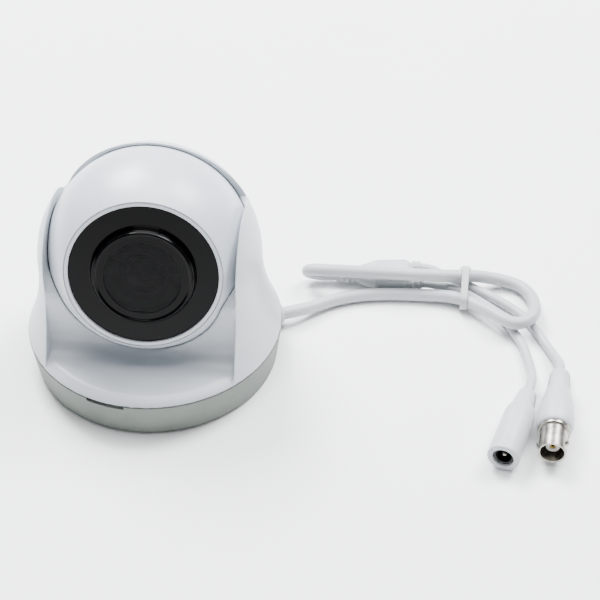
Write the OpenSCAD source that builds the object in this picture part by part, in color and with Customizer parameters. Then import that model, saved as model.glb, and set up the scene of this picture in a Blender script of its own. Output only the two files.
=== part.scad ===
// Eyeball dome camera with a pigtail lead: a round base, a turning dome cover, a tilting
// eyeball with a turning lens module, and a lead that splits into power and video.
// Z is up, the lens looks towards -Y, and the origin is at the middle of the base's underside.

/* [Base] */
// Diameter of the base at its parting line
base_d = 92; // [90:1:110]
// Height of the base up to its parting line
base_h = 14.2; // [13.6:0.2:16]
// Thickness of the base floor
base_floor = 2.4; // [2:0.2:3]
// Thickness of the base side wall at the parting line
base_wall = 3.4; // [3:0.2:4]
// How much the side narrows from the parting line to the underside
base_draft = 1.8; // [0:0.2:3]
// Diameter of the circle that the mounting holes lie on
mount_pcd = 64; // [58:1:66]
// Diameter of a mounting hole
mount_hole_d = 4.2; // [3.5:0.1:5]
// Width of the pry slot at the parting line
pry_w = 14; // [8:1:18]
// Turn of the pry slot away from the front
pry_turn = -12; // [-30:1:30]

/* [Dome cover] */
// Radius of the dome
dome_r = 39.4; // [39:0.1:42]
// Height of the dome's centre
dome_z = 45.2; // [44:0.2:50]
// Wall thickness of the cover
cover_wall = 2.2; // [1.8:0.1:2.6]
// Width of the slot that the eyeball looks out of
slot_w = 66.4; // [60:0.2:67]
// Height of the flat shelf in front of the eyeball
shelf_z = 16.8; // [16.4:0.1:17.2]
// Distance of the wall behind the shelf from the axis
recess_y = 21.5; // [21:0.1:23]
// Height round which that wall bends back
knee_z = 47; // [44:0.5:50]
// How far behind the axis the slot runs over the top
slot_back = 17; // [14:0.5:19]
// Radius of the soft corner between the shelf and the wall
shelf_fillet = 6; // [3:0.5:7]

/* [Eyeball] */
// Radius of the eyeball
ball_r = 35.6; // [35:0.1:35.8]
// Height of the eyeball's centre
ball_z = 48.1; // [47.8:0.1:48.4]
// Thickness of the eyeball's shell
ball_wall = 2.2; // [1.8:0.1:2.6]
// Gap between the eyeball and what holds it
ball_gap = 0.25; // [0.15:0.05:0.4]
// Angle of the lens above the horizontal
lens_lift = 15; // [0:1:60]
// Turn of the lens away from the front
lens_turn = 6; // [-10:1:10]

/* [Lens module] */
// Radius of the black front window
window_r = 25.6; // [24:0.1:26]
// Thickness of the front window
window_t = 1.6; // [1.2:0.1:2]
// Width of the white rim round the window
rim_w = 1.4; // [1:0.1:1.8]
// Number of infrared lamps
lamp_count = 12; // [8:1:14]
// Radius of the lens barrel
lens_r = 6.8; // [6:0.1:7.5]

/* [Lead] */
// Diameter of the main cable
main_d = 4.8; // [4:0.1:5.2]
// Diameter of the power and video tails
tail_d = 3.5; // [3:0.1:3.6]
// Turn of the cable outlet from the right-hand side
exit_turn = 22; // [15:1:30]

/* [Hidden] */
$fn = 96;
eps = 0.05;
run_gap = 0.05;      // radial clearance of a turning fit
part_gap = 0.15;     // gap at the parting line
base_r = base_d / 2;
skirt_r = base_r - base_wall - 0.3;      // sleeve of the cover inside the base wall
sleeve_t = 2.2;
plate_z = 7.2;       // underside of the turning plate at its hub
plate_t = 2;
plate_top = plate_z + plate_t;
rise = 3.4;          // the plate's outer part stands this much higher, over the cord clamp
outer_z = plate_z + rise;
outer_top = outer_z + plate_t;
hub_r = 9;           // hub that the plate turns on
hub_bore_r = 5.5;
boss_pos = skirt_r - sleeve_t - 2;       // cover bosses, on the sleeve's inner side
boss_r = 2.8;
pry_h = 1.4;
pry_deep = 1.8;
lip_w = 3.8;         // soft front edge of the shelf
lip_z = base_h + 0.6;
lean_h = 13.5;       // rise of the wall's leaning part
seat_in = 13.5;
seat_out = 17;
pad_t = 1.2;
screw_r = 1.1;       // small self-tapping screws
screw_clear = 0.05;
head_r = 2.1;
head_h = 1.3;

// Lens module, measured along the lens axis from the eyeball's centre
rim_r = window_r + rim_w;
rim_z = sqrt(ball_r * ball_r - (rim_r + 0.1) * (rim_r + 0.1));
window_front = rim_z - 0.9;   // at the window's edge
window_back = window_front - window_t;
gasket_t = 0.6;
crown_r = 17.4;      // raised middle of the window
crown_h = 3;
disc_r = 13.2;       // clear disc in the raised middle
ledge_z = window_back - gasket_t;
stop_z = 13;         // flange in the eyeball that the module turns against
stop_t = 1.2;
drum_in = rim_r - 2.8;
drum_r = rim_r - 1.65;
drum_z = stop_z - 2.2;
clip_t = 0.9;
clip_z = stop_z - 0.1 - clip_t;
clip_bite = 0.5;
board_z = 15;
board_t = 1.6;
lug_t = 1.6;
lens_front = window_back - 0.3;
lug_pos = 21.6;
main_z = 1.4;
split_z = -8.2;        // plane where the two shells of the eyeball meet, hidden by the cover
seal_r = sqrt(ball_r * ball_r - split_z * split_z) - 1.15;
ball_screw_pos = 27;
screw_seat_z = -14;

// Cable outlet and tie
exit_z = 5.2;
clamp_pos = 31.5;
clamp_h = 6.4;
exit_r = base_r - base_draft * (1 - exit_z / base_h);
tie_t = 0.9;
tie_w = 2.6;

// Places of the splitter and the two connectors, and the way they point
splitter_at = [79.5, 46, 3.6];
splitter_turn = 6;
dc_at = [135.9, -14, 5.8];
dc_turn = 256;
bnc_at = [147.1, -4, 6.7];
bnc_turn = 266;

// Route of the main cable, from inside the base to the splitter
main_route = [
  [26, 10.5, 5.2], [34, 13.74, 5.2], [41.7, 16.85, 5.2], [46.4, 18.8, 5.1], [51, 21.8, 4.4],
  [55.5, 25.5, 3.2], [60.5, 29.3, 2.7], [66.5, 32.5, 2.5], [76, 35.4, 2.5], [86, 36.8, 2.5],
  [97, 37.4, 2.6], [105, 37, 3.2], [111, 35.2, 3.7], [117, 31.2, 4.6], [122.5, 26.5, 5.9],
  [126.5, 23.2, 6.3], [131, 21.7, 6.4], [135, 23.8, 6.4], [137.4, 28.5, 6.2], [137.4, 34.5, 5.2],
  [136, 41, 3.6], [132, 46.6, 2.8], [126.5, 48.9, 2.8], [120.5, 48.2, 4.4], [115.5, 46.4, 6.4],
  [111, 44.6, 7.7], [104, 42.6, 8.7], [93, 40.8, 9.6], [81, 40, 9.8], [69, 39.4, 9.9],
  [59.5, 38.7, 10.1], [54, 39.1, 9.5], [51, 40.9, 7.1], [52, 43, 4.5], [56.5, 43.6, 3.6],
  [61.6, 44.12, 3.6]
];
// Route of the power tail, from the splitter to the power socket
power_route = [
  [94.9, 42.99, 3.6], [98, 43.4, 3.3], [102, 43, 2.9], [106.5, 41.8, 2.9], [111, 39.9, 2.9],
  [116, 37.2, 2.4], [121.5, 33.4, 1.9], [126.5, 28.6, 1.9], [130.2, 22, 1.9], [133.8, 14.5, 1.9],
  [136, 6.5, 1.9], [137.2, -1, 2.9], [136.9, -8, 5.2], [135.9, -14, 5.8]
];
// Route of the video tail, from the splitter to the video connector
video_route = [
  [93.94, 52.14, 3.6], [97.5, 51.9, 3.3], [102, 50, 2.9], [106.5, 47.6, 2.9], [111, 45.4, 2.9],
  [116.5, 42.6, 2.4], [122.5, 39.6, 1.9], [128.8, 35.2, 1.9], [134.2, 30, 1.9], [138.2, 24.2, 1.9],
  [142.2, 16.6, 1.9], [145.4, 9, 3.2], [147, 2.5, 5.7], [147.1, -4, 6.7]
];

// ---- shared shapes ----

// Points of an arc in the profile plane
function arc(c, r, a0, a1, n) =
  [for (i = [0 : n]) let (a = a0 + (a1 - a0) * i / n) c + r * [cos(a), sin(a)]];

// A curve from a to c that starts and ends pointing at b
function bend(a, b, c, n) =
  [for (i = [0 : n]) let (t = i / n) (1 - t) * (1 - t) * a + 2 * t * (1 - t) * b + t * t * c];

// Outer profile of the cover: a quadratic flare that runs into the dome, grown inwards by g
flare = base_r - dome_r;
function flare_r(z) = dome_r + flare * pow((dome_z - z) / (dome_z - base_h), 2);
function cover_profile(g, z0) = concat(
  [[0, z0]],
  [for (i = [0 : 14]) let (z = z0 + (dome_z - z0) * i / 14) [flare_r(z) - g, z]],
  arc([0, dome_z], dome_r - g, 0, 90, 22)
);

// A ring about Z with a rectangular section
module ring(r0, r1, z0, z1) {
  translate([0, 0, z0]) difference() {
    cylinder(r = r1, h = z1 - z0);
    translate([0, 0, -1]) cylinder(r = r0, h = z1 - z0 + 2);
  }
}

// A screw along +Z with its head at the top
module screw(length) {
  translate([0, 0, -length]) cylinder(r = screw_r, h = length, $fn = 32);
  cylinder(r = head_r, h = head_h, $fn = 32);
}

// Puts its children in the eyeball's frame: lens axis along +Z, centre at the origin
module in_ball() {
  translate([0, 0, ball_z]) rotate([90 - lens_lift, 0, lens_turn]) children();
}

// The slot that the eyeball looks out of, grown by g on every side
module slot(g) {
  f = shelf_fillet;
  y0 = -(recess_y - g);
  z0 = shelf_z - g;
  side = concat(
    [[-base_d, z0]],
    arc([y0 - f, z0 + f], f, -90, 0, 8),
    bend([y0, knee_z - 8 - g], [y0, knee_z + 2 - g], [slot_back + g, knee_z + lean_h - g], 8),
    [[slot_back + g, dome_z + dome_r + 5], [-base_d, dome_z + dome_r + 5]]
  );
  rotate([90, 0, 90]) translate([0, 0, -slot_w / 2 - g]) linear_extrude(slot_w + 2 * g) polygon(side);
}

function unit(v) = v / norm(v);
function tangent(l, i) =
  unit(l[min(i + 1, len(l) - 1)] - l[max(i - 1, 0)]);

// A round cord of diameter d along the points l, with n sides
module cord(l, d, n) {
  m = len(l);
  rings = [for (i = [0 : m - 1], j = [0 : n - 1])
    let (t = tangent(l, i), s = unit(cross([0, 0, 1], t)), u = cross(t, s), a = 360 * (j + 0.5) / n)
    l[i] + d / 2 * (cos(a) * s + sin(a) * u)];
  sides = [for (i = [0 : m - 2], j = [0 : n - 1])
    [i * n + j, (i + 1) * n + j, (i + 1) * n + (j + 1) % n, i * n + (j + 1) % n]];
  ends = [[for (j = [0 : n - 1]) j], [for (j = [n - 1 : -1 : 0]) (m - 1) * n + j]];
  polyhedron(rings, concat(sides, ends));
}

// ---- base ----

// Moulded base: floor, drafted side wall, hub for the turning plate, holes for the ceiling screws
module mounting_base() {
  color("#c9ceca")
  difference() {
    union() {
      difference() {
        rotate_extrude() polygon([[0, 0], [base_r - base_draft - 0.6, 0],
          [base_r - base_draft, 0.6], [base_r, base_h - part_gap], [0, base_h - part_gap]]);
        translate([0, 0, base_floor]) cylinder(r = base_r - base_wall, h = base_h);
      }
      translate([0, 0, base_floor - eps]) cylinder(r = hub_r, h = plate_top + 0.1 - base_floor + eps);
    }
    translate([0, 0, -1]) cylinder(r = hub_bore_r, h = base_h + 2);
    for (i = [0 : 2]) rotate([0, 0, 120 * i + 90]) translate([mount_pcd / 2, 0, -1])
      cylinder(d = mount_hole_d, h = base_floor + 2);
    for (i = [0 : 2]) rotate([0, 0, 120 * i + 30]) translate([7.25, 0, plate_top - 5])
      cylinder(r = screw_r + screw_clear, h = 8, $fn = 32);
    rotate([0, 0, pry_turn]) translate([-pry_w / 2, -base_r - 1, base_h - pry_h])
      cube([pry_w, pry_deep + 1, 3]);
    rotate([0, 0, exit_turn]) translate([base_r - 10, 0, exit_z]) rotate([0, 90, 0])
      cylinder(r = main_d / 2 + 1.2, h = 20);
    rotate([0, 0, exit_turn]) for (s = [-1, 1]) translate([clamp_pos, s * 6, 0.8])
      cylinder(r = screw_r + screw_clear, h = 8, $fn = 32);
  }
}

// Washer that keeps the turning plate on its hub
module pan_washer() {
  color("#b8bcc0")
  difference() {
    ring(hub_bore_r, hub_r + 2.4, plate_top + 0.1, plate_top + 1.1);
    for (i = [0 : 2]) rotate([0, 0, 120 * i + 30]) translate([7.25, 0, plate_top - 1])
      cylinder(r = screw_r + 0.15, h = 4, $fn = 32);
  }
}

module pan_screws() {
  color("#8e9296")
  for (i = [0 : 2]) rotate([0, 0, 120 * i + 30]) translate([7.25, 0, plate_top + 1.1]) {
    translate([0, 0, -5.4]) cylinder(r = screw_r, h = 5.4, $fn = 32);
    cylinder(r = 1.7, h = 0.9, $fn = 32);
  }
}

// Soft grommet in the base's side hole
module cable_grommet() {
  color("#e4e6e6")
  rotate([0, 0, exit_turn]) translate([0, 0, exit_z]) rotate([0, 90, 0])
  difference() {
    union() {
      translate([0, 0, exit_r - 3.2]) cylinder(r = main_d / 2 + 1.15, h = 4.2);
      translate([0, 0, exit_r + 0.55]) cylinder(r1 = main_d / 2 + 1.7, r2 = main_d / 2 + 0.9, h = 2.2);
    }
    translate([0, 0, exit_r - 6]) cylinder(r = main_d / 2, h = 12);
  }
}

// Saddle that holds the cable down inside the base
module cord_clamp() {
  color("#dfe2e2")
  rotate([0, 0, exit_turn]) translate([clamp_pos, 0, 0]) difference() {
    translate([-2.4, -8.4, base_floor]) cube([4.8, 16.8, clamp_h]);
    translate([-3, 0, exit_z]) rotate([0, 90, 0]) cylinder(r = main_d / 2, h = 6);
    for (s = [-1, 1]) translate([0, s * 6, 0]) cylinder(r = screw_r + 0.15, h = 12, $fn = 32);
  }
}

module clamp_screws() {
  color("#8e9296")
  rotate([0, 0, exit_turn]) for (s = [-1, 1]) translate([clamp_pos, s * 6, base_floor + clamp_h]) screw(7.6);
}

// ---- lead ----

module main_cable() {
  color("#dfe2e4") cord(main_route, main_d, 10);
}

module power_lead() {
  color("#dfe2e4") cord(power_route, tail_d, 8);
}

module video_lead() {
  color("#dfe2e4") cord(video_route, tail_d, 8);
}

// Y moulding where the main cable becomes the two tails
module splitter() {
  color("#dfe2e4")
  translate(splitter_at) rotate([0, 0, splitter_turn]) {
    hull() {
      translate([-9.5, 0, 0]) sphere(r = 3.3, $fn = 32);
      for (y = [-4.2, 4.2]) translate([8, y, 0]) sphere(r = 3.4, $fn = 32);
      for (y = [-3.6, 3.6]) translate([-2, y, 0]) sphere(r = 3.5, $fn = 32);
    }
    rotate([0, -90, 0]) for (k = [0 : 3]) translate([0, 0, 11 + 1.9 * k])
      cylinder(r = main_d / 2 + 0.85 - 0.1 * k, h = 1.3);
    rotate([0, -90, 0]) translate([0, 0, 10]) cylinder(r = main_d / 2 + 0.2, h = 8);
    for (y = [-4.6, 4.6]) translate([0, y, 0]) rotate([0, 90, 0]) {
      for (k = [0 : 1]) translate([0, 0, 11.4 + 1.8 * k]) cylinder(r = tail_d / 2 + 0.8, h = 1.2);
      translate([0, 0, 9]) cylinder(r = tail_d / 2 + 0.2, h = 6);
    }
  }
}

// Places a connector: its axis along +Z, from the cord's end towards the mouth
module along(at, turn) {
  translate(at) rotate([0, 90, turn]) children();
}

// Moulded body of the power socket with its ribbed strain relief
module dc_boot() {
  color("#e2e5e6")
  along(dc_at, dc_turn) difference() {
    rotate_extrude() polygon([[0, 0], [tail_d / 2 + 1.1, 0], [3.1, 1.6], [3.1, 2.2], [3.6, 2.2],
      [3.6, 3.6], [3.3, 3.6], [3.3, 4.4], [4, 4.4], [4, 5.8], [3.7, 5.8], [3.7, 6.6], [4.4, 6.6],
      [4.4, 8], [4.5, 8.2], [5.3, 9.6], [5.6, 11.5], [5.6, 32.4], [5.3, 32.9], [0, 32.9]]);
    translate([0, 0, 20]) cylinder(r = 3.7, h = 20);
  }
}

// Black insert of the power socket
module dc_socket() {
  color("#1a1b1d")
  along(dc_at, dc_turn) difference() {
    translate([0, 0, 20]) cylinder(r = 3.7, h = 12);
    translate([0, 0, 21]) cylinder(r = 2.8, h = 12);
  }
}

module dc_pin() {
  color("#c9b98a")
  along(dc_at, dc_turn) {
    translate([0, 0, 21]) cylinder(r = 1, h = 9.4, $fn = 32);
    translate([0, 0, 30.4]) sphere(r = 1, $fn = 32);
  }
}

// Moulded boot of the video connector, widest at its mouth end
module bnc_boot() {
  color("#e2e5e6")
  along(bnc_at, bnc_turn) difference() {
    rotate_extrude() polygon([[0, 0], [tail_d / 2 + 1.2, 0], [3.4, 1.2], [3.4, 2], [4, 2], [4, 3.6],
      [3.6, 3.6], [3.6, 4.4], [4.2, 4.4], [4.2, 6], [3.8, 6], [3.8, 6.8], [4.4, 6.8], [4.4, 8.4],
      [4.7, 10.5], [5.3, 13.5], [6.1, 18.5], [6.5, 22], [6.5, 26], [6, 27.4], [0, 27.4]]);
    translate([0, 0, 17]) cylinder(r = 4.83, h = 20);
  }
}

// Nickel-plated barrel with its two bayonet lugs
module bnc_barrel() {
  color("#b9b7b2")
  along(bnc_at, bnc_turn) difference() {
    union() {
      translate([0, 0, 17]) cylinder(r = 4.83, h = 21.4);
      translate([0, 0, 27.4]) cylinder(r = 5.6, h = 1.2);
      rotate([0, 0, 20]) translate([0, 0, 34]) rotate([90, 0, 0])
        translate([0, 0, -5.6]) cylinder(r = 1, h = 11.2, $fn = 32);
    }
    translate([0, 0, 18]) cylinder(r = 4.1, h = 22);
  }
}

module bnc_insulator() {
  color("#efefec")
  along(bnc_at, bnc_turn) difference() {
    union() {
      translate([0, 0, 18]) cylinder(r = 4.1, h = 10);
      translate([0, 0, 27]) cylinder(r = 2.4, h = 8.4);
    }
    translate([0, 0, 26]) cylinder(r = 1.1, h = 12, $fn = 32);
  }
}

module bnc_contact() {
  color("#cdb56a")
  along(bnc_at, bnc_turn) difference() {
    translate([0, 0, 26]) cylinder(r = 1.1, h = 9, $fn = 32);
    translate([0, 0, 29]) cylinder(r = 0.6, h = 8, $fn = 32);
  }
}

// Outline of the bundle at the tie, grown by g
module bundle(g) {
  hull() {
    translate([34.8, 3.8]) circle(r = 2.7 + g, $fn = 32);
    translate([45.9, 3.15]) circle(r = 2.2 + g, $fn = 32);
    translate([44.8, 7.8]) circle(r = 2.75 + g, $fn = 32);
  }
}

// Nylon tie round the bundle, with its lock head on top
module cable_tie() {
  color("#e9ecec")
  translate([111 - tie_w / 2, 0, 0]) rotate([90, 0, 90]) {
    linear_extrude(tie_w) difference() {
      bundle(tie_t);
      bundle(0);
    }
    translate([48.4, 2.4, -0.9]) cube([2.6, 4, tie_w + 1.8]);
  }
}

// ---- turning housing ----

// Dome cover: a thin shell with the slot for the eyeball, lips round the slot and a ball socket
module dome_cover() {
  color("#dfe3ea")
  difference() {
    union() {
      difference() {
        rotate_extrude() polygon(cover_profile(0, base_h));
        difference() {
          rotate_extrude() polygon(concat([[0, base_h - 1]], cover_profile(cover_wall, base_h)));
          slot(cover_wall);
        }
      }
      ring(skirt_r - sleeve_t, skirt_r, outer_top + 0.4, base_h + 2);
      ring(skirt_r - sleeve_t, base_r - 1, base_h, base_h + 1.9);
      for (i = [0 : 2]) rotate([0, 0, 120 * i + 30]) translate([boss_pos, 0, outer_top])
        cylinder(r = boss_r, h = base_h + 1.8 - outer_top, $fn = 48);
    }
    slot(0);
    translate([0, 0, ball_z]) sphere(r = ball_r + ball_gap);
    difference() {
      rotate_extrude() polygon(concat([[base_r + 5, lip_z], [base_r + 5, shelf_z + 3],
        [base_r - lip_w, shelf_z + 3]],
        bend([base_r - lip_w, shelf_z], [base_r - 1.2, shelf_z - 0.9], [base_r - 0.2, lip_z], 6)));
      translate([-base_d, -recess_y + 6, 0]) cube([2 * base_d, base_d, 60]);
      for (s = [-1, 1]) translate([s * (slot_w / 2 + base_d / 2), -base_d, 0])
        cube([base_d, 4 * base_d, 100], center = true);
    }
    for (i = [0 : 2]) rotate([0, 0, 120 * i + 30]) translate([boss_pos, 0, outer_top - 1])
      cylinder(r = screw_r + screw_clear, h = 3.8, $fn = 32);
  }
}

// Turning plate: turns on the base's hub, carries the cover and the cup under the eyeball
module seat_plate() {
  color("#d4d8da")
  difference() {
    union() {
      rotate_extrude() polygon([[hub_r + run_gap, plate_z], [22, plate_z], [25, outer_z],
        [skirt_r, outer_z], [skirt_r, outer_top], [24.2, outer_top], [21.2, plate_top],
        [hub_r + run_gap, plate_top]]);
      ring(seat_in, seat_out, plate_z + 1, 20);
    }
    translate([0, 0, ball_z]) sphere(r = ball_r + ball_gap + pad_t);
    for (i = [0 : 2]) rotate([0, 0, 120 * i + 30]) translate([boss_pos, 0, 0])
      cylinder(r = screw_r + 0.15, h = 20, $fn = 32);
  }
}

// Soft friction ring between the cup and the eyeball
module seat_pad() {
  color("#3c3f42")
  difference() {
    intersection() {
      ring(seat_in, seat_out, plate_top, 20);
      translate([0, 0, ball_z]) sphere(r = ball_r + ball_gap + pad_t);
    }
    translate([0, 0, ball_z]) sphere(r = ball_r + ball_gap);
  }
}

module seat_screws() {
  color("#8e9296")
  for (i = [0 : 2]) rotate([0, 0, 120 * i + 30]) translate([boss_pos, 0, outer_z])
    rotate([180, 0, 0]) screw(4.4);
}

// ---- eyeball ----

module ball_shell() {
  difference() {
    sphere(r = ball_r);
    sphere(r = ball_r - ball_wall);
  }
}

// Front shell of the eyeball, with the bore that the lens module turns in
module eyeball_front() {
  color("#e3e7ee")
  in_ball() difference() {
    union() {
      difference() {
        ball_shell();
        translate([0, 0, split_z - 50]) cube([100, 100, 100], center = true);
      }
      intersection() {
        sphere(r = ball_r - 0.4);
        ring(rim_r + 0.1, rim_r + 2.2, stop_z, 30);
      }
      ring(rim_r - 1.6, rim_r + 2.2, stop_z, stop_z + stop_t);
      intersection() {
        sphere(r = ball_r - 1);
        for (i = [0 : 2]) rotate([0, 0, 120 * i]) translate([ball_screw_pos - 2.4, -2.4, split_z])
          cube([9, 4.8, 7]);
      }
    }
    translate([0, 0, stop_z + stop_t]) cylinder(r = rim_r + run_gap, h = 30);
    translate([0, 0, stop_z - 0.4]) cylinder(r = rim_r - 1.6, h = 10);
    for (i = [0 : 2]) rotate([0, 0, 120 * i]) translate([ball_screw_pos, 0, split_z - 1])
      cylinder(r = screw_r + screw_clear, h = 6, $fn = 32);
    translate([0, 0, split_z]) rotate_extrude() translate([seal_r, 0]) circle(r = 0.52, $fn = 24);
  }
}

// Rear shell of the eyeball, with the hole for the harness
module eyeball_rear() {
  color("#dfe3ea")
  in_ball() difference() {
    union() {
      difference() {
        ball_shell();
        translate([0, 0, split_z + 50]) cube([100, 100, 100], center = true);
      }
      intersection() {
        sphere(r = ball_r - 1);
        for (i = [0 : 2]) rotate([0, 0, 120 * i]) translate([ball_screw_pos - 3.4, -3.4, -25])
          cube([10, 6.8, 25 + split_z]);
      }
    }
    rotate([180, 0, 0]) cylinder(r = 6, h = 60);
    for (i = [0 : 2]) rotate([0, 0, 120 * i]) translate([ball_screw_pos, 0, 0]) {
      translate([0, 0, screw_seat_z - 1]) cylinder(r = screw_r + 0.15, h = 10, $fn = 32);
      translate([0, 0, screw_seat_z - 25]) cylinder(r = head_r + 0.2, h = 25, $fn = 32);
    }
    translate([0, 0, split_z]) rotate_extrude() translate([seal_r, 0]) circle(r = 0.52, $fn = 24);
  }
}

module eyeball_seal() {
  color("#2b2d2f")
  in_ball() translate([0, 0, split_z]) rotate_extrude() translate([seal_r, 0])
    circle(r = 0.4, $fn = 24);
}

module eyeball_screws() {
  color("#8e9296")
  in_ball() for (i = [0 : 2]) rotate([0, 0, 120 * i]) translate([ball_screw_pos, 0, screw_seat_z])
    rotate([180, 0, 0]) screw(10);
}

// ---- lens module ----

// White drum and rim that hold the window, with three lugs for the boards
module bezel_ring() {
  color("#e6eaf0")
  in_ball() difference() {
    union() {
      rotate_extrude() polygon([[drum_in, drum_z], [drum_r, drum_z], [drum_r, clip_z],
        [drum_r - clip_bite, clip_z], [drum_r - clip_bite, clip_z + clip_t],
        [drum_r, clip_z + clip_t], [drum_r, stop_z + stop_t + 0.1], [rim_r, stop_z + stop_t + 0.1],
        [rim_r, rim_z - 0.3], [rim_r - 0.3, rim_z], [window_r, rim_z], [window_r, ledge_z],
        [drum_in, ledge_z]]);
      for (i = [0 : 2]) rotate([0, 0, 120 * i + 60]) translate([lug_pos - 2, -2.4, board_z - lug_t])
        cube([drum_in - lug_pos + 2.5, 4.8, lug_t]);
    }
    for (i = [0 : 2]) rotate([0, 0, 120 * i + 60]) translate([lug_pos, 0, 0])
      cylinder(r = screw_r + screw_clear, h = 17, $fn = 32);
  }
}

// Spring clip that keeps the module in the eyeball
module bezel_clip() {
  color("#a9adb0")
  in_ball() ring(drum_r - clip_bite, rim_r + 0.6, clip_z, clip_z + clip_t);
}

// Smoked window: a flat edge, a raised middle with a ring on it, and a clear disc over the lens
module front_window() {
  color("#0a0a0c")
  in_ball() difference() {
    union() {
      rotate_extrude() polygon([[0, window_back], [window_r - 0.05, window_back],
        [window_r - 0.05, window_front], [crown_r + 0.9, window_front],
        [crown_r, window_front + crown_h - 0.8], [crown_r - 0.6, window_front + crown_h - 0.3],
        [disc_r, window_front + crown_h - 0.3], [disc_r, window_front + crown_h - 0.5],
        [0, window_front + crown_h - 0.5]]);
      translate([0, 0, window_front + crown_h - 0.4]) rotate_extrude() translate([crown_r - 1, 0])
        circle(r = 0.6, $fn = 32);
    }
    translate([0, 0, window_back - 1]) cylinder(r = disc_r + 0.6, h = window_t + crown_h - 0.9);
  }
}

module window_gasket() {
  color("#26282a")
  in_ball() ring(drum_in + 0.1, window_r - 0.1, ledge_z, window_back);
}

// Round lamp board behind the window
module ir_board() {
  color("#1d5a34")
  in_ball() difference() {
    ring(11, drum_in - 0.2, board_z, board_z + board_t);
    for (i = [0 : 2]) rotate([0, 0, 120 * i + 60]) translate([lug_pos, 0, 0])
      cylinder(r = screw_r + 0.15, h = 30, $fn = 32);
  }
}

module ir_lamps() {
  color("#3a2330")
  in_ball() for (i = [0 : lamp_count - 1]) rotate([0, 0, 360 * (i + 0.5) / lamp_count])
    translate([17.2, 0, board_z + board_t]) cylinder(r1 = 1.9, r2 = 1.5, h = 1.6, $fn = 32);
}

module light_sensor() {
  color("#5a5148")
  in_ball() rotate([0, 0, -28]) translate([12.9, 0, board_z + board_t])
    cylinder(r = 1.3, h = 1.5, $fn = 32);
}

// Foam tube that keeps lamp light out of the lens
module light_shield() {
  color("#151617")
  in_ball() ring(lens_r + 0.8, 10.8, main_z + 12, window_back);
}

module lens_holder() {
  color("#202224")
  in_ball() difference() {
    union() {
      translate([-9, -9, main_z + board_t]) cube([18, 18, 5]);
      translate([0, 0, main_z + board_t]) cylinder(r = lens_r + 0.7, h = 9.4);
    }
    translate([0, 0, main_z + board_t + 4]) cylinder(r = lens_r, h = 20);
    translate([0, 0, main_z]) cylinder(r = 5.6, h = 8);
  }
}

module lens_barrel() {
  color("#141517")
  in_ball() difference() {
    translate([0, 0, main_z + board_t + 4]) cylinder(r = lens_r, h = lens_front - main_z - board_t - 4);
    cylinder(r = 4.2, h = 40);
    translate([0, 0, lens_front - 2.6]) cylinder(r1 = 4.9, r2 = 5.8, h = 2.7);
  }
}

// Front lens element
module lens_glass() {
  color("#2a2440")
  in_ball() intersection() {
    translate([0, 0, lens_front - 5]) cylinder(r = 4.15, h = 5);
    translate([0, 0, lens_front - 8.5]) sphere(r = 7);
  }
}

module image_sensor() {
  color("#2e3338")
  in_ball() translate([-4.2, -3.4, main_z + board_t]) cube([8.4, 6.8, 1.4]);
}

module main_board() {
  color("#1d5a34")
  in_ball() difference() {
    translate([0, 0, main_z]) cylinder(r = drum_in - 0.6, h = board_t);
    for (i = [0 : 2]) rotate([0, 0, 120 * i + 60]) translate([lug_pos, 0, 0])
      cylinder(r = screw_r + 0.15, h = 10, $fn = 32);
  }
}

module board_spacers() {
  color("#c8b560")
  in_ball() for (i = [0 : 2]) rotate([0, 0, 120 * i + 60]) translate([lug_pos, 0, 0])
    ring(screw_r + screw_clear, 2, main_z + board_t, board_z - lug_t);
}

// Screws through the lamp board into the lugs, and through the main board into the spacers
module board_screws() {
  color("#8e9296")
  in_ball() for (i = [0 : 2]) rotate([0, 0, 120 * i + 60]) translate([lug_pos, 0, 0]) {
    translate([0, 0, board_z + board_t]) {
      translate([0, 0, -3]) cylinder(r = screw_r, h = 3, $fn = 32);
      cylinder(r = 1.9, h = 0.9, $fn = 32);
    }
    translate([0, 0, main_z]) rotate([180, 0, 0]) {
      translate([0, 0, -6]) cylinder(r = screw_r, h = 6, $fn = 32);
      cylinder(r = 1.9, h = 0.9, $fn = 32);
    }
  }
}

module signal_header() {
  color("#e8e4d8")
  in_ball() translate([-6, -14, main_z - 4]) cube([12, 4.5, 4]);
}

mounting_base();
pan_washer();
pan_screws();
cable_grommet();
cord_clamp();
clamp_screws();
main_cable();
splitter();
power_lead();
video_lead();
dc_boot();
dc_socket();
dc_pin();
bnc_boot();
bnc_barrel();
bnc_insulator();
bnc_contact();
cable_tie();
dome_cover();
seat_plate();
seat_pad();
seat_screws();
eyeball_front();
eyeball_rear();
eyeball_seal();
eyeball_screws();
bezel_ring();
bezel_clip();
front_window();
window_gasket();
ir_board();
ir_lamps();
light_sensor();
light_shield();
lens_barrel();
lens_glass();
lens_holder();
image_sensor();
main_board();
board_spacers();
board_screws();
signal_header();
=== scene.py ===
import math

import bmesh
import bpy
from mathutils import Matrix, Vector


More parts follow.
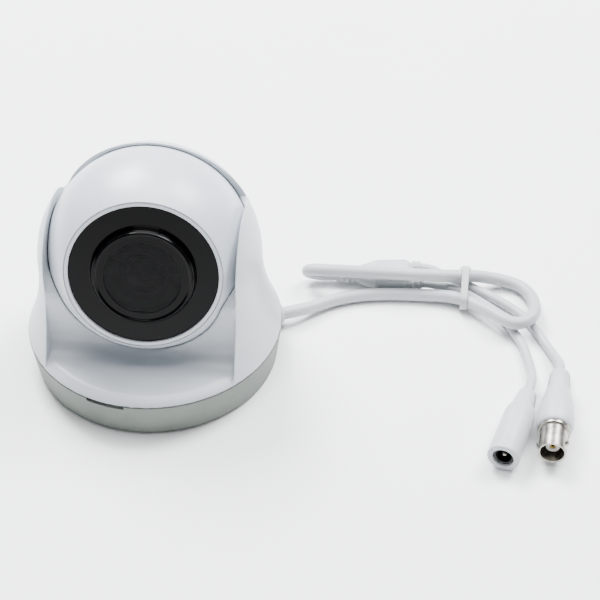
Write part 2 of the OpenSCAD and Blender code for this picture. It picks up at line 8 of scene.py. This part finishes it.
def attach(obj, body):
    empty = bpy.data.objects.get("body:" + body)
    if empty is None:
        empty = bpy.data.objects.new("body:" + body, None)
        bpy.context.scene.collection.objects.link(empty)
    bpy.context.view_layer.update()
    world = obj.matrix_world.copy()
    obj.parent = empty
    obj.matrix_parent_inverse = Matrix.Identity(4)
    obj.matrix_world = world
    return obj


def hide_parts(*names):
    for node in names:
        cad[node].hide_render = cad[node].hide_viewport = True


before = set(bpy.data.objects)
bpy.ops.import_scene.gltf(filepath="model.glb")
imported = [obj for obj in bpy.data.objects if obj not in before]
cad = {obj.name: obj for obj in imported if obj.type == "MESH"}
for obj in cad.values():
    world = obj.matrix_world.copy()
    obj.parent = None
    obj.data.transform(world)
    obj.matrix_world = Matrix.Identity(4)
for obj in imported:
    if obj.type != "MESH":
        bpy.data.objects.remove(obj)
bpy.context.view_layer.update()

# ---- Camera ----
# The view is from the front and well above, with the camera head left of the middle and the
# lead running off to the right.
camera = bpy.data.objects.new("camera", bpy.data.cameras.new("camera"))
bpy.context.scene.collection.objects.link(camera)
bpy.context.scene.camera = camera
camera.data.lens = 95.95
camera.data.sensor_width = 36
camera.location = (0.1043, -0.4185, 0.4096)
camera.rotation_euler = (math.radians(47.916), 0, math.radians(7))


# ---- Lead: the three cords ----
# White PVC sheaths, drawn along their length. The main cable runs out, loops back, folds over the
# Y moulding and ends in it; the two thinner tails come out of its other end.
def linear(code):
    """An sRGB hex colour as the linear values that a socket takes."""
    parts = [int(code[i : i + 2], 16) / 255 for i in (1, 3, 5)]
    return (*(c / 12.92 if c <= 0.04045 else ((c + 0.055) / 1.055) ** 2.4 for c in parts), 1)


def add(tree, kind, **sockets):
    """A new shader node with its sockets set by name, to a value or to another node's output."""
    made = tree.nodes.new("ShaderNode" + kind)
    for name, value in sockets.items():
        socket = made.inputs[name.replace("_", " ")]
        if isinstance(value, bpy.types.NodeSocket):
            tree.links.new(value, socket)
        else:
            socket.default_value = value
    return made


def spread(tree, value, low, high):
    """A 0 to 1 value carried over to the range from low to high."""
    return add(tree, "MapRange", Value=value, To_Min=low, To_Max=high).outputs["Result"]


def tones(tree, value, *stops):
    """A colour ramp on value through (place, hex colour) stops."""
    made = add(tree, "ValToRGB", Fac=value)
    ramp = made.color_ramp
    while len(ramp.elements) < len(stops):
        ramp.elements.new(0.5)
    for element, (place, code) in zip(ramp.elements, stops):
        element.position = place
        element.color = linear(code)
    return made.outputs["Color"]


def started(name):
    """A new material, its empty tree and the piece's own coordinates in metres."""
    made = bpy.data.materials.new(name)
    made.use_nodes = True
    made.node_tree.nodes.clear()
    tree = made.node_tree
    return made, tree, add(tree, "TexCoord").outputs["Object"]


def ended(tree, **sockets):
    """The principled shader that the material ends in."""
    shader = add(tree, "BsdfPrincipled", **sockets)
    out = add(tree, "OutputMaterial")
    tree.links.new(shader.outputs[0], out.inputs[0])


def noise(tree, where, size_mm, detail=2.0):
    """Noise whose blotches are about size_mm across."""
    return add(tree, "TexNoise", Vector=where, Scale=1000 / size_mm, Detail=detail).outputs["Fac"]


def sheath(name, dark, light):
    """Extruded PVC: streaks along the cord from its own length coordinate, and a fine skin."""
    made, tree, where = started(name)
    along = add(tree, "TexCoord").outputs["UV"]
    squeezed = add(tree, "Mapping", Vector=along, Scale=(3.0, 40.0, 1.0)).outputs[0]
    streak = add(tree, "TexNoise", Vector=squeezed, Scale=1.0, Detail=3.0).outputs["Fac"]
    skin = noise(tree, where, 0.25)
    smudge = noise(tree, where, 14, 4.0)
    both = add(tree, "Math", Value=streak)
    both.operation = "MULTIPLY_ADD"
    both.inputs[1].default_value = 0.4
    tree.links.new(spread(tree, smudge, 0.1, 0.5), both.inputs[2])
    bump = add(tree, "Bump", Strength=0.35, Distance=0.00002, Height=skin)
    ended(
        tree,
        Base_Color=tones(tree, both.outputs[0], (0.3, dark), (0.72, light)),
        Roughness=spread(tree, skin, 0.34, 0.46),
        Specular_IOR_Level=0.42,
        Subsurface_Weight=0.06,
        Subsurface_Radius=(0.0012, 0.0012, 0.0012),
        Normal=bump.outputs[0],
    )
    return made


def cord(name, diameter, points, material):
    """A round cord on the route that the CAD node of the same name follows."""
    curve = bpy.data.curves.new("cord_" + name, "CURVE")
    curve.dimensions = "3D"
    curve.bevel_depth = diameter / 2
    curve.bevel_resolution = 6
    curve.resolution_u = 8
    curve.use_fill_caps = True
    line = curve.splines.new("BEZIER")
    line.bezier_points.add(len(points) - 1)
    for knot, point in zip(line.bezier_points, points):
        knot.co = point
        knot.handle_left_type = knot.handle_right_type = "AUTO"
    made = bpy.data.objects.new("cord_" + name, curve)
    bpy.context.scene.collection.objects.link(made)
    curve.materials.append(material)
    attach(made, "base")
    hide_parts(name)
    return made


main_sheath = sheath("extruded_pvc_main_sheath", "#a4a7a9", "#b9bcbe")
tail_sheath = sheath("extruded_pvc_tail_sheath", "#a9acae", "#bfc2c4")
main_cable = cord(
    "main_cable",
    0.0048,
    [
        (0.026, 0.0105, 0.0052), (0.034, 0.01374, 0.0052), (0.0417, 0.01685, 0.0052),
        (0.0464, 0.0188, 0.0051), (0.051, 0.0218, 0.0044), (0.0555, 0.0255, 0.0032),
        (0.0605, 0.0293, 0.0027), (0.0665, 0.0325, 0.0025), (0.076, 0.0354, 0.0025),
        (0.086, 0.0368, 0.0025), (0.097, 0.0374, 0.0026), (0.105, 0.037, 0.0032),
        (0.111, 0.0352, 0.0037), (0.117, 0.0312, 0.0046), (0.1225, 0.0265, 0.0059),
        (0.1265, 0.0232, 0.0063), (0.131, 0.0217, 0.0064), (0.135, 0.0238, 0.0064),
        (0.1374, 0.0285, 0.0062), (0.1374, 0.0345, 0.0052), (0.136, 0.041, 0.0036),
        (0.132, 0.0466, 0.0028), (0.1265, 0.0489, 0.0028), (0.1205, 0.0482, 0.0044),
        (0.1155, 0.0464, 0.0064), (0.111, 0.0446, 0.0077), (0.104, 0.0426, 0.0087),
        (0.093, 0.0408, 0.0096), (0.081, 0.04, 0.0098), (0.069, 0.0394, 0.0099),
        (0.0595, 0.0387, 0.0101), (0.054, 0.0391, 0.0095), (0.051, 0.0409, 0.0071),
        (0.052, 0.043, 0.0045), (0.0565, 0.0436, 0.0036), (0.0616, 0.04412, 0.0036),
    ],
    main_sheath,
)
power_lead = cord(
    "power_lead",
    0.0035,
    [
        (0.0949, 0.04299, 0.0036), (0.098, 0.0434, 0.0033), (0.102, 0.043, 0.0029),
        (0.1065, 0.0418, 0.0029), (0.111, 0.0399, 0.0029), (0.116, 0.0372, 0.0024),
        (0.1215, 0.0334, 0.0019), (0.1265, 0.0286, 0.0019), (0.1302, 0.022, 0.0019),
        (0.1338, 0.0145, 0.0019), (0.136, 0.0065, 0.0019), (0.1372, -0.001, 0.0029),
        (0.1369, -0.008, 0.0052), (0.1359, -0.014, 0.0058),
    ],
    tail_sheath,
)
video_lead = cord(
    "video_lead",
    0.0035,
    [
        (0.09394, 0.05214, 0.0036), (0.0975, 0.0519, 0.0033), (0.102, 0.05, 0.0029),
        (0.1065, 0.0476, 0.0029), (0.111, 0.0454, 0.0029), (0.1165, 0.0426, 0.0024),
        (0.1225, 0.0396, 0.0019), (0.1288, 0.0352, 0.0019), (0.1342, 0.03, 0.0019),
        (0.1382, 0.0242, 0.0019), (0.1422, 0.0166, 0.0019), (0.1454, 0.009, 0.0032),
        (0.147, 0.0025, 0.0057), (0.1471, -0.004, 0.0067),
    ],
    tail_sheath,
)


# ---- Lead: Y moulding ----
# A flat moulded body with ribbed reliefs, one over the main cable and one over each tail. It is
# joined from simple solids and then melted together, so every corner has a moulder's radius.
def joined(name, build, material, body, *stands_for):
    """A mesh object that build() fills, riding on a body and standing for CAD nodes."""
    mesh = bpy.data.meshes.new(name)
    shape = bmesh.new()
    build(shape)
    bmesh.ops.recalc_face_normals(shape, faces=shape.faces)
    for face in shape.faces:
        face.smooth = True
    shape.to_mesh(mesh)
    shape.free()
    made = bpy.data.objects.new(name, mesh)
    bpy.context.scene.collection.objects.link(made)
    mesh.materials.append(material)
    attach(made, body)
    if stands_for:
        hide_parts(*stands_for)
    return made


def melted(made, voxel, passes):
    """Joins a piece's solids into one skin and softens its corners."""
    remesh = made.modifiers.new("one skin", "REMESH")
    remesh.mode = "VOXEL"
    remesh.voxel_size = voxel
    remesh.use_smooth_shade = True
    soften = made.modifiers.new("soft corners", "SMOOTH")
    soften.factor = 0.5
    soften.iterations = passes


def moulded(name, dark, light, rough, grain_mm=0.3, depth=0.00002, edge=0.0004, **more):
    """Injection-moulded plastic: slow drift of tone, a fine eroded grain and softened edges."""
    made, tree, where = started(name)
    drift = noise(tree, where, 22, 3.0)
    grain = noise(tree, where, grain_mm, 3.0)
    wear = noise(tree, where, 5, 5.0)
    rounded = add(tree, "Bevel", Radius=edge).outputs[0]
    bump = add(tree, "Bump", Strength=0.4, Distance=depth, Height=grain, Normal=rounded)
    mixed = add(tree, "Math", Value=drift)
    mixed.operation = "MULTIPLY_ADD"
    mixed.inputs[1].default_value = 0.8
    tree.links.new(spread(tree, wear, 0.0, 0.2), mixed.inputs[2])
    shine = add(tree, "Math", Value=spread(tree, wear, -0.05, 0.05))
    shine.operation = "ADD"
    tree.links.new(spread(tree, grain, rough - 0.03, rough + 0.03), shine.inputs[1])
    ended(
        tree,
        Base_Color=tones(tree, mixed.outputs[0], (0.3, dark), (0.7, light)),
        Roughness=shine.outputs[0],
        Normal=bump.outputs[0],
        **more,
    )
    return made


def tube(shape, start, direction, length, radius, sides=32):
    """Adds a closed cylinder to a bmesh, from start along direction."""
    turn = Vector((0, 0, 1)).rotation_difference(Vector(direction)).to_matrix().to_4x4()
    place = Matrix.Translation(Vector(start)) @ turn @ Matrix.Translation((0, 0, length / 2))
    bmesh.ops.create_cone(
        shape, cap_ends=True, segments=sides, radius1=radius, radius2=radius, depth=length, matrix=place
    )


def y_moulding(shape):
    body = []
    for x, y, r in (
        (-9.5, 0, 3.25), (8, -4.2, 3.35), (8, 4.2, 3.35), (-2, -3.6, 3.45), (-2, 3.6, 3.45),
    ):
        made = bmesh.ops.create_uvsphere(
            shape, u_segments=32, v_segments=16, radius=r / 1000,
            matrix=Matrix.Translation((x / 1000, y / 1000, 0)),
        )
        body += made["verts"]
    hull = bmesh.ops.convex_hull(shape, input=body)
    inner = {v for v in hull["geom_interior"] if isinstance(v, bmesh.types.BMVert)}
    bmesh.ops.delete(shape, geom=list(inner), context="VERTS")
    tube(shape, (-0.0095, 0, 0), (-1, 0, 0), 0.0085, 0.00262)
    for k in range(4):
        tube(shape, (-0.011 - 0.0019 * k, 0, 0), (-1, 0, 0), 0.0013, 0.00325 - 0.0001 * k)
    for y in (-0.0046, 0.0046):
        tube(shape, (0.009, y, 0), (1, 0, 0), 0.006, 0.00195)
        for k in range(2):
            tube(shape, (0.0114 + 0.0018 * k, y, 0), (1, 0, 0), 0.0012, 0.00255)
    turn = Matrix.Translation((0.0795, 0.046, 0.0036)) @ Matrix.Rotation(math.radians(6), 4, "Z")
    bmesh.ops.transform(shape, matrix=turn, verts=shape.verts)


lead_moulding = moulded(
    "overmoulded_pvc_white", "#b0b4b7", "#c3c6c9", 0.42, 0.4, 0.00002,
    Subsurface_Weight=0.05, Subsurface_Radius=(0.0012, 0.0012, 0.0012),
)
splitter = joined("y_moulding_body", y_moulding, lead_moulding, "base", "splitter")
melted(splitter, 0.0002, 3)


# ---- Lead: power socket ----
# A turned boot with a thin neck, whose grooves are open on the upper and lower side, round a black
# insert with the centre pin of a standard barrel socket.
def softened(outline, radius):
    """A closed outline with each corner rounded off by up to radius."""
    soft = []
    for i, corner in enumerate(outline):
        here = Vector(corner)
        before = Vector(outline[i - 1]) - here
        after = Vector(outline[(i + 1) % len(outline)]) - here
        on_axis = corner[0] < 1e-7
        cut = min(radius, before.length * 0.45, after.length * 0.45)
        if on_axis or cut < 1e-6:
            soft.append(here)
            continue
        a, b = here + before.normalized() * cut, here + after.normalized() * cut
        for t in (0, 0.25, 0.5, 0.75, 1):
            soft.append(a * (1 - t) ** 2 + here * 2 * t * (1 - t) + b * t * t)
    return soft


def turned(name, outline, place, material, body, *nodes, soft=0.3, sides=128, dent=None, also=None):
    """A piece turned about its own Z axis from (radius, height) points in mm, put in place."""
    line = softened([(r / 1000, z / 1000) for r, z in outline], soft / 1000)

    def build(shape):
        rings = []
        for k in range(sides):
            angle = 2 * math.pi * k / sides
            ring = []
            for r, z in line:
                size = r - (dent(z * 1000, angle) / 1000 if dent and r > 1e-6 else 0)
                ring.append(shape.verts.new((size * math.cos(angle), size * math.sin(angle), z)))
            rings.append(ring)
        for k in range(sides):
            a, b = rings[k], rings[(k + 1) % sides]
            for i in range(len(line)):
                j = (i + 1) % len(line)
                if line[i][0] < 1e-7 and line[j][0] < 1e-7:
                    continue
                shape.faces.new((a[i], a[j], b[j], b[i]))
        bmesh.ops.remove_doubles(shape, verts=shape.verts, dist=1e-7)
        if also:
            also(shape)

    made = joined(name, build, material, body, *nodes)
    made.matrix_world = place
    even = made.modifiers.new("even normals", "WEIGHTED_NORMAL")
    even.weight = 80
    return made


def grooves(z, angle, first, pitch, count, depth, half_open):
    """How deep a relief's grooves are at a height and angle: they are open on two sides."""
    across = abs(math.sin(angle))
    side = max(0.0, min(1.0, (math.cos(math.radians(half_open)) - across) / -0.25))
    side = side * side * (3 - 2 * side)
    deep = 0.0
    for k in range(count):
        deep = max(deep, 1 - ((z - first - pitch * k) / 0.45) ** 4)
    return depth * side * max(0.0, deep)


def stations(low, high, step, radius_at):
    """Outline points from low to high, close enough together to carry grooves."""
    count = int(round((high - low) / step))
    return [(radius_at(low + (high - low) * i / count), low + (high - low) * i / count)
            for i in range(count + 1)]


dc_place = (
    Matrix.Translation((0.1359, -0.014, 0.0058))
    @ Matrix.Rotation(math.radians(256), 4, "Z")
    @ Matrix.Rotation(math.radians(90), 4, "Y")
)
dc_boot = turned(
    "dc_boot_body",
    [(1.76, 0), (2.85, 0)]
    + stations(0.4, 8, 0.15, lambda z: 3.25 + 0.13 * z)
    + [(4.5, 8.3), (5.2, 9.8), (5.45, 12), (5.6, 24), (5.6, 32.9), (3.7, 32.9), (3.7, 20), (1.76, 20)],
    dc_place, lead_moulding, "base", "dc_boot", soft=0.35,
    dent=lambda z, a: grooves(z, a, 2.4, 1.9, 3, 0.75, 35),
)
black_insert = moulded("moulded_black_insulator", "#101113", "#1b1c1f", 0.38, 0.5, 0.00001)
dc_socket = turned(
    "dc_socket_insert", [(0, 20), (3.69, 20), (3.69, 31.9), (2.8, 31.9), (2.8, 21), (0, 21)],
    dc_place, black_insert, "base", "dc_socket", soft=0.2,
)


def plated(name, dark, light, rough, lay_mm=0.06, **more):
    """Turned and plated metal: fine rings along the piece's own axis, stains and small scratches."""
    made, tree, where = started(name)
    squeezed = add(tree, "Mapping", Vector=where, Scale=(0.08, 0.08, 1.0)).outputs[0]
    rings = add(tree, "TexNoise", Vector=squeezed, Scale=1000 / lay_mm, Detail=2.0).outputs["Fac"]
    stain = noise(tree, where, 3, 4.0)
    scratch = noise(tree, where, 0.4, 6.0)
    bump = add(
        tree, "Bump", Strength=0.25, Distance=0.00001, Height=rings,
        Normal=add(tree, "Bevel", Radius=0.00015).outputs[0],
    )
    shine = add(tree, "Math", Value=spread(tree, scratch, 0.0, 0.12))
    shine.operation = "ADD"
    tree.links.new(spread(tree, stain, rough - 0.05, rough + 0.05), shine.inputs[1])
    ended(
        tree,
        Base_Color=tones(tree, stain, (0.35, dark), (0.65, light)),
        Metallic=1.0,
        Roughness=shine.outputs[0],
        Normal=bump.outputs[0],
        **more,
    )
    return made


nickel = plated("turned_nickel_plated_brass", "#8f8b84", "#b5b1a8", 0.24)
dc_pin = turned(
    "dc_centre_pin", [(0, 21), (1, 21), (1, 30.2), (0.8, 30.9), (0.4, 31.3), (0, 31.4)],
    dc_place, nickel, "base", "dc_pin", soft=0.1, sides=48,
)

# ---- Lead: video connector ----
# A boot that widens towards a nickel-plated barrel with two bayonet lugs. Inside the barrel
# stands a white insulator with the gold-plated centre contact.
bnc_place = (
    Matrix.Translation((0.1471, -0.004, 0.0067))
    @ Matrix.Rotation(math.radians(266), 4, "Z")
    @ Matrix.Rotation(math.radians(90), 4, "Y")
)
bnc_boot = turned(
    "bnc_boot_body",
    [(1.76, 0), (3.0, 0)]
    + stations(0.4, 9, 0.15, lambda z: 3.6 + 0.08 * z)
    + [(4.7, 10.8), (5.3, 13.5), (6.05, 18.5), (6.45, 22), (6.5, 25), (6.2, 26.6), (5.7, 27.4),
       (4.84, 27.4), (4.84, 17), (1.76, 17)],
    bnc_place, lead_moulding, "base", "bnc_boot", soft=0.45,
    dent=lambda z, a: grooves(z, a, 2.6, 2.0, 3, 0.8, 38),
)


def lugs(shape):
    for side in (0, 180):
        angle = math.radians(side + 110)
        away = (math.cos(angle), math.sin(angle), 0)
        tube(shape, (0.0044 * away[0], 0.0044 * away[1], 0.034), away, 0.0012, 0.00095, 24)


bnc_barrel = turned(
    "bnc_barrel_shell",
    [(0, 17), (4.83, 17), (4.83, 27.4), (5.6, 27.4), (5.6, 28.6), (4.83, 28.6), (4.83, 38.4),
     (4.1, 38.4), (4.1, 18), (0, 18)],
    bnc_place, nickel, "base", "bnc_barrel", soft=0.18, also=lugs,
)
insulator = moulded("moulded_white_insulator", "#b9b7ae", "#cfcdc5", 0.45, 0.5, 0.00001)
bnc_insulator = turned(
    "bnc_insulator_core",
    [(1.12, 26), (1.12, 35.4), (2.4, 35.4), (2.4, 28), (4.09, 28), (4.09, 18.01), (0, 18.01), (0, 26)],
    bnc_place, insulator, "base", "bnc_insulator", soft=0.15,
)
gold = plated("gold_plated_contact", "#8a7340", "#c2a562", 0.28)
bnc_contact = turned(
    "bnc_contact_tube", [(0, 26), (1.1, 26), (1.1, 35), (0.6, 35), (0.6, 29), (0, 29)],
    bnc_place, gold, "base", "bnc_contact", soft=0.08, sides=48,
)


# ---- Lead: tie ----
# A milky nylon tie holds the bundle together.
def dressed(name, material):
    """Gives a carried-over CAD node its material."""
    cad[name].data.materials.clear()
    cad[name].data.materials.append(material)
    return cad[name]


nylon = moulded(
    "moulded_nylon_natural", "#c9cccb", "#dde0df", 0.4, 0.6, 0.00002,
    Transmission_Weight=0.35, IOR=1.53,
)
cable_tie = dressed("cable_tie", nylon)

# ---- Floor and light ----
# A plain pale floor, and two wide soft boxes high up behind the camera head, so that tops are
# bright, fronts are in soft shade and the window's ring catches two highlights.
floor_material, tree, where = started("plain_pale_floor")
ended(
    tree,
    Base_Color=tones(tree, noise(tree, where, 60, 3.0), (0.3, "#fafafa"), (0.7, "#fdfdfd")),
    Roughness=spread(tree, noise(tree, where, 4, 2.0), 0.75, 0.85),
    Specular_IOR_Level=0.1,
)


def plane(shape):
    bmesh.ops.create_grid(shape, x_segments=2, y_segments=2, size=3.0)


floor_mesh = bpy.data.meshes.new("floor")
sheet = bmesh.new()
plane(sheet)
sheet.to_mesh(floor_mesh)
sheet.free()
floor = bpy.data.objects.new("floor", floor_mesh)
bpy.context.scene.collection.objects.link(floor)
floor.location.z = -0.0002
floor_mesh.materials.append(floor_material)

world = bpy.data.worlds.new("studio")
bpy.context.scene.world = world
world.use_nodes = True
world.node_tree.nodes["Background"].inputs["Color"].default_value = linear("#eef2f6")
world.node_tree.nodes["Background"].inputs["Strength"].default_value = 0.28
for name, place, power, size in (
    ("soft_box_left", (-0.42, 0.62, 1.0), 42, 0.5),
    ("soft_box_right", (0.62, 0.55, 1.0), 30, 0.5),
    ("top_fill", (0.05, 0.15, 1.5), 34, 1.0),
):
    lamp = bpy.data.lights.new(name, "AREA")
    lamp.size = size
    lamp.energy = power
    lamp.color = (0.97, 0.985, 1.0)
    held = bpy.data.objects.new(name, lamp)
    bpy.context.scene.collection.objects.link(held)
    held.location = place
    aim = Vector((0.06, 0.0, 0.03)) - Vector(place)
    held.rotation_euler = aim.to_track_quat("-Z", "Y").to_euler()

# ---- Base ----
# The moulded base with its pry slot, the washer and screws of its hub, and the grommet, saddle
# and screws that hold the cable.
# The base's white plastic is given a dark grey-green here. The green tint is its own colour; the
# darkness is painted shade for its side.
base_plastic_painted_shade = moulded(
    "moulded_abs_base_white_painted_shade", "#6d736e", "#7d837d", 0.62, 0.35, 0.00003, 0.0005,
    Specular_IOR_Level=0.3,
)
dressed("mounting_base", base_plastic_painted_shade)
zinc = plated("zinc_plated_steel", "#7f8488", "#a3a8ac", 0.34)
for name in ("pan_washer", "pan_screws", "clamp_screws"):
    dressed(name, zinc)
grommet_rubber = moulded("soft_pvc_grommet", "#b4b8ba", "#c6cacc", 0.55, 0.5, 0.00003)
dressed("cable_grommet", grommet_rubber)
saddle_nylon = moulded("moulded_nylon_saddle", "#b9bdbc", "#cdd1d0", 0.45, 0.4, 0.00003)
dressed("cord_clamp", saddle_nylon)

# ---- Dome cover ----
# One white shell. It takes the CAD cover's walls and melts their corners to a moulder's radius of
# about half a millimetre.
cover_plastic = moulded("moulded_abs_cover_white", "#b3b8be", "#bfc4ca", 0.36, 0.3, 0.000015, 0.0002)
cover_mesh = cad["dome_cover"].data.copy()
cover = bpy.data.objects.new("dome_cover_shell", cover_mesh)
bpy.context.scene.collection.objects.link(cover)
cover_mesh.materials.clear()
cover_mesh.materials.append(cover_plastic)
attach(cover, "housing")
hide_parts("dome_cover")
melted(cover, 0.00045, 5)

seat_plastic = moulded("moulded_acetal_plate", "#b9bebf", "#c9cecf", 0.4, 0.35, 0.00003)
dressed("seat_plate", seat_plastic)
pad_rubber = moulded("die_cut_black_rubber", "#232527", "#303235", 0.75, 0.25, 0.00006)
dressed("seat_pad", pad_rubber)
dressed("seat_screws", zinc)

# ---- Eyeball ----
# Two half shells with a seal between them, joined by three screws from behind.
ball_plastic = moulded("moulded_abs_eyeball_white", "#bac0c8", "#c6ccd4", 0.33, 0.3, 0.000015, 0.0003)
dressed("eyeball_front", ball_plastic)
dressed("eyeball_rear", ball_plastic)
dressed("eyeball_seal", pad_rubber)
dressed("eyeball_screws", zinc)

# ---- Lens module: rim and window ----
# A white rim round a smoked window, which has a raised ring and, a little lower inside it, a
# clearer disc that the lens shows faintly through.
ball_place = (
    Matrix.Translation((0, 0, 0.0481))
    @ Matrix.Rotation(math.radians(6), 4, "Z")
    @ Matrix.Rotation(math.radians(75), 4, "X")
)
rim_plastic = moulded("moulded_abs_rim_white", "#c3c8cf", "#d0d5db", 0.3, 0.3, 0.00001, 0.0003)
dressed("bezel_ring", rim_plastic)
dressed("bezel_clip", zinc)
smoked, tree, where = started("moulded_smoked_acrylic")
apart = add(tree, "SeparateXYZ", Vector=where)
across = add(tree, "CombineXYZ", X=apart.outputs["X"], Y=apart.outputs["Y"])
radius = add(tree, "VectorMath")
radius.operation = "LENGTH"
tree.links.new(across.outputs[0], radius.inputs[0])
clear = add(
    tree, "MapRange", Value=radius.outputs["Value"], From_Min=0.0131, From_Max=0.0134,
    To_Min=1.0, To_Max=0.0,
).outputs["Result"]
smear = noise(tree, where, 9, 5.0)
haze = noise(tree, where, 0.6, 3.0)
bump = add(
    tree, "Bump", Strength=0.15, Distance=0.000004, Height=haze,
    Normal=add(tree, "Bevel", Radius=0.0002).outputs[0],
)
ended(
    tree,
    Base_Color=tones(tree, clear, (0.1, "#010102"), (0.9, "#08080a")),
    Roughness=spread(tree, smear, 0.1, 0.2),
    Specular_IOR_Level=0.1,
    Alpha=spread(tree, clear, 1.0, 0.72),
    Normal=bump.outputs[0],
)
turned(
    "front_window_moulding",
    [(0, 23.2), (0, 24.69), (13.2, 24.69), (13.2, 24.89), (15.7, 24.89), (16.0, 25.25), (16.4, 25.39),
     (16.8, 25.2), (17.1, 24.6), (17.4, 24.35), (18.2, 22.19), (25.55, 22.19), (25.55, 20.6),
     (13.8, 20.6), (13.8, 23.2)],
    ball_place, smoked, "lens_module", "front_window", soft=0.25, sides=192,
)
dressed("window_gasket", pad_rubber)

# ---- Lens module: lens ----
# A black barrel with the coated front glass, in its holder over the image sensor.
lens_black = moulded("anodised_black_barrel", "#0c0d0f", "#141518", 0.45, 0.3, 0.00002)
for name in ("lens_barrel", "lens_holder"):
    dressed(name, lens_black)
glass, tree, where = started("coated_optical_glass")
ended(
    tree,
    Base_Color=tones(tree, noise(tree, where, 4, 1.0), (0.3, "#07060c"), (0.7, "#0c0a14")),
    Roughness=spread(tree, noise(tree, where, 1.5, 2.0), 0.03, 0.06),
    Specular_IOR_Level=0.4,
    Coat_Weight=0.3,
    Coat_Tint=linear("#7d6ac0"),
)
dressed("lens_glass", glass)
foam = moulded("black_foam_tube", "#0d0d0e", "#19191a", 0.9, 0.5, 0.0001)
dressed("light_shield", foam)
dressed("image_sensor", black_insert)

# ---- Lens module: boards ----
# Green laminate with copper tracks under the solder mask, infrared lamps, light sensor, spacers,
# screws and the header of the inner harness.
board, tree, where = started("solder_masked_laminate")
brick = add(tree, "TexBrick", Vector=where, Scale=420.0, Mortar_Size=0.035)
brick.inputs["Color1"].default_value = linear("#0f4a27")
brick.inputs["Color2"].default_value = linear("#14562e")
brick.inputs["Mortar"].default_value = linear("#2c7a42")
weave = noise(tree, where, 0.5, 2.0)
bump = add(tree, "Bump", Strength=0.3, Distance=0.00003, Height=weave)
ended(
    tree,
    Base_Color=brick.outputs["Color"],
    Roughness=spread(tree, weave, 0.3, 0.42),
    Normal=bump.outputs[0],
)
for name in ("ir_board", "main_board"):
    dressed(name, board)
lamp_resin = moulded(
    "infrared_lamp_resin", "#1a0d14", "#24121c", 0.12, 1.2, 0.000005, Transmission_Weight=0.3,
)
for name in ("ir_lamps", "light_sensor"):
    dressed(name, lamp_resin)
brass = plated("turned_brass_spacer", "#8f7a45", "#b89c5c", 0.3)
dressed("board_spacers", brass)
dressed("board_screws", zinc)
dressed("signal_header", insulator)
